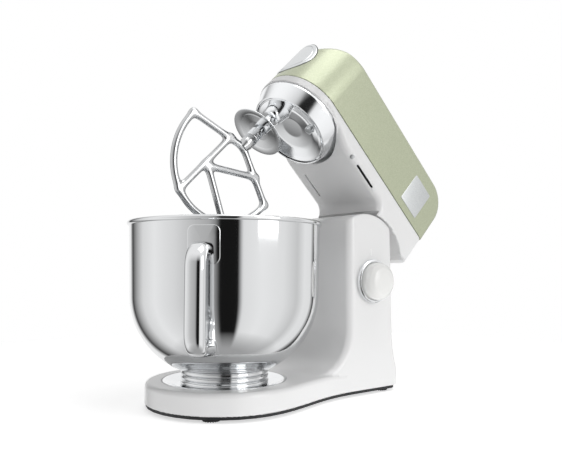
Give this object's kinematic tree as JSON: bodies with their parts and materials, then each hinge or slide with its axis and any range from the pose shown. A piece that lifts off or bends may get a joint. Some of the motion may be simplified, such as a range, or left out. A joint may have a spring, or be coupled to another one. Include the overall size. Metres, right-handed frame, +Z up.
{
  "type": "stand mixer",
  "caption": "Tilt-head stand mixer with a round steel bowl, a K-shaped beater on a planetary drive, a side speed dial and a raised head.",
  "frame": {"origin": "middle of the bounding box's bottom, on the surface the feet stand on", "axes": "+Z up, the nose and the bowl towards -Y, the speed dial on the +X side"},
  "size_m": [0.2296, 0.4388, 0.4609],
  "materials": {
    "white_paint": "smooth satin white paint on a die casting",
    "green_paint": "pale green satin metallic paint",
    "stainless": "mirror-polished stainless steel",
    "chrome_plate": "bright plated metal",
    "dark_steel": "plain machined steel",
    "cast_aluminium": "cast and brushed aluminium",
    "bronze": "sintered bronze and copper alloy",
    "white_plastic": "moulded white plastic, soft gloss",
    "black_plastic": "moulded black plastic",
    "nylon": "natural nylon",
    "circuit_board": "coated circuit board",
    "rubber": "black rubber"
  },
  "bodies": {
    "stand": {"stand_casting": "white_paint", "base_plate": "black_plastic", "rubber_foot_1": "rubber", "rubber_foot_2": "rubber", "rubber_foot_3": "rubber", "rubber_foot_4": "rubber", "base_screw_1": "dark_steel", "base_screw_2": "dark_steel", "base_screw_3": "dark_steel", "bowl_seat": "chrome_plate", "hinge_pin": "dark_steel", "hinge_clip": "dark_steel", "hinge_bush_left": "bronze", "hinge_bush_right": "bronze", "latch_spring": "dark_steel", "dial_ring": "chrome_plate", "speed_control_board": "circuit_board", "speed_potentiometer": "black_plastic", "cord_gland": "rubber"},
    "latch": {"latch_lever": "white_plastic"},
    "dial": {"dial_knob": "white_plastic", "dial_shaft": "dark_steel"},
    "bowl": {"bowl_shell": "stainless", "bowl_foot": "stainless", "bowl_handle": "stainless", "handle_plate_upper": "stainless", "handle_plate_lower": "stainless"},
    "head": {"head_lower_casing": "white_paint", "head_cover": "green_paint", "nose_cap": "chrome_plate", "side_badge": "cast_aluminium", "head_chassis": "cast_aluminium", "chassis_screw_1": "dark_steel", "chassis_screw_2": "dark_steel", "chassis_screw_3": "dark_steel", "outlet_ring": "chrome_plate", "ring_gear": "dark_steel", "hub_bearing_lower": "dark_steel", "hub_bearing_upper": "dark_steel", "bearing_bridge": "cast_aluminium", "drive_belt": "rubber", "motor_stator": "dark_steel", "motor_frame_lower": "cast_aluminium", "motor_frame_upper": "cast_aluminium", "brush_holder_left": "bronze", "brush_holder_right": "bronze", "outlet_socket": "cast_aluminium"},
    "planet_hub": {"planet_hub": "chrome_plate", "hub_screw": "stainless", "large_pulley": "nylon"},
    "tool": {"tool_spindle": "chrome_plate", "planet_pinion": "nylon", "drip_disc": "chrome_plate", "beater_shank": "stainless", "k_beater": "stainless"},
    "rotor": {"motor_rotor": "dark_steel", "commutator": "bronze", "small_pulley": "nylon", "motor_fan": "black_plastic"},
    "outlet_drive": {"outlet_spindle": "dark_steel"}
  },
  "joints": [
    {"name": "head_tilt", "type": "hinge", "parent": "stand", "child": "head", "pos_m": [0, 0.07129, 0.1691], "axis": [1, 0, 0], "range_deg": [0, 45]},
    {"name": "hub_spin", "type": "hinge", "parent": "head", "child": "planet_hub", "pos_m": [0, -0.00296, 0.34361], "axis": [0, 0.7071, 0.7071], "continuous": true},
    {"name": "tool_spin", "type": "hinge", "parent": "planet_hub", "child": "tool", "pos_m": [0, -0.02417, 0.36483], "axis": [0, 0.7071, 0.7071], "continuous": true},
    {"name": "rotor_spin", "type": "hinge", "parent": "head", "child": "rotor", "pos_m": [0, 0.13847, 0.28705], "axis": [0, 0.7071, 0.7071], "continuous": true},
    {"name": "outlet_spin", "type": "hinge", "parent": "head", "child": "outlet_drive", "pos_m": [0, 0.02533, 0.41432], "axis": [0, 0.7071, -0.7071], "continuous": true},
    {"name": "dial_turn", "type": "hinge", "parent": "stand", "child": "dial", "pos_m": [0.066, 0.07979, 0.144], "axis": [-1, 0, 0], "range_deg": [-30, 180]},
    {"name": "latch_press", "type": "hinge", "parent": "stand", "child": "latch", "pos_m": [-0.04, 0.09839, 0.146], "axis": [1, 0, 0], "range_deg": [0, 10], "stiffness_Nm_per_rad": 0.5},
    {"name": "bowl_twist", "type": "hinge", "parent": "stand", "child": "bowl", "pos_m": [0, -0.10461, 0.0265], "axis": [0, 0, 1], "range_deg": [0, 30]}
  ],
  "couplings": [
    {"joint": "tool_spin", "follows": "hub_spin", "ratio": -3},
    {"joint": "rotor_spin", "follows": "hub_spin", "ratio": 4.6667},
    {"joint": "outlet_spin", "follows": "hub_spin", "ratio": -1}
  ]
}
